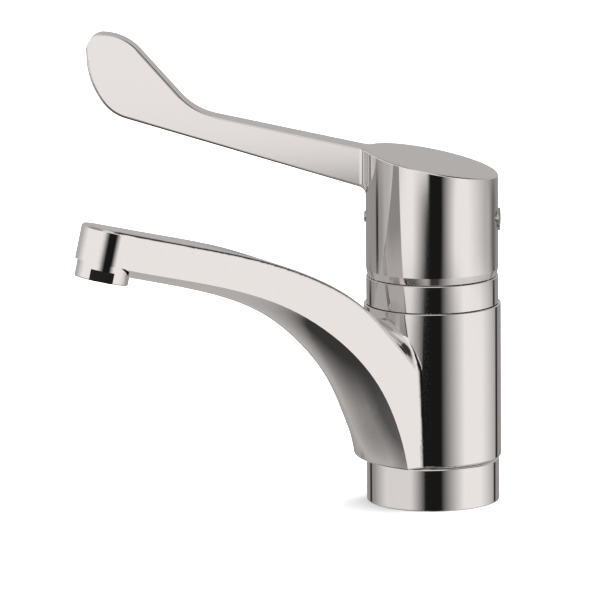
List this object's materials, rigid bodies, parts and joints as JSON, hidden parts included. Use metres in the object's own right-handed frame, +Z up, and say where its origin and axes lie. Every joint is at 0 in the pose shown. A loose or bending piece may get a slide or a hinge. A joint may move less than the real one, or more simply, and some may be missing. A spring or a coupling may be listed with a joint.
{
  "type": "elbow lever tap",
  "caption": "Single-lever deck mixer tap with a round barrel body, a rising swivel spout with an aerator, and a long flat elbow lever on a slanted round cap.",
  "frame": {"origin": "centre of the base's underside on the deck", "axes": "+Z up the column's axis, +X the side that the lever points to; the spout at rest is swung 35 degrees from +X towards +Y"},
  "size_m": [0.1675, 0.1263, 0.1911],
  "materials": {
    "chrome": "polished",
    "brass": "machined",
    "steel": "turned",
    "ceramic": "lapped ceramic",
    "white_plastic": "moulded",
    "grey_plastic": "moulded",
    "rubber": "matt",
    "dark_plug": "glossy"
  },
  "bodies": {
    "base": {"base_column": "chrome", "deck_gasket": "rubber", "lower_glide_ring": "white_plastic", "upper_glide_ring": "white_plastic", "lower_lip_seal": "rubber", "upper_lip_seal": "rubber", "collar_ring": "chrome", "cartridge_nut": "brass", "cartridge_housing": "white_plastic", "cartridge_base_plate": "white_plastic", "port_seals": "rubber", "fixed_disc": "ceramic"},
    "spout": {"spout_casting": "chrome", "aerator_housing": "chrome", "aerator_insert": "grey_plastic", "aerator_mesh": "steel", "aerator_seal": "rubber"},
    "turner": {"turning_sleeve": "grey_plastic", "pivot_pin": "steel"},
    "disc": {"moving_disc": "ceramic", "disc_carrier": "grey_plastic"},
    "lever": {"lever_casting": "chrome", "lever_spindle": "brass", "lever_socket_insert": "white_plastic", "grub_screw": "steel", "rear_plug": "dark_plug", "indicator_button": "dark_plug"}
  },
  "joints": [
    {"name": "spout_swivel", "type": "hinge", "parent": "base", "child": "spout", "pos_m": [0, 0, 0.018], "axis": [0, 0, 1], "range_deg": [-95, 25]},
    {"name": "lever_turn", "type": "hinge", "parent": "base", "child": "turner", "pos_m": [0, 0, 0.10056], "axis": [0, 0, 1], "range_deg": [-45, 45]},
    {"name": "lever_lift", "type": "hinge", "parent": "turner", "child": "lever", "pos_m": [0, 0, 0.10056], "axis": [0, -1, 0], "range_deg": [0, 20]},
    {"name": "disc_slide", "type": "slide", "parent": "turner", "child": "disc", "axis": [1, 0, 0], "range_m": [0, 0.00489]}
  ],
  "couplings": [
    {"joint": "disc_slide", "follows": "lever_lift", "m_per_rad": 0.014}
  ]
}
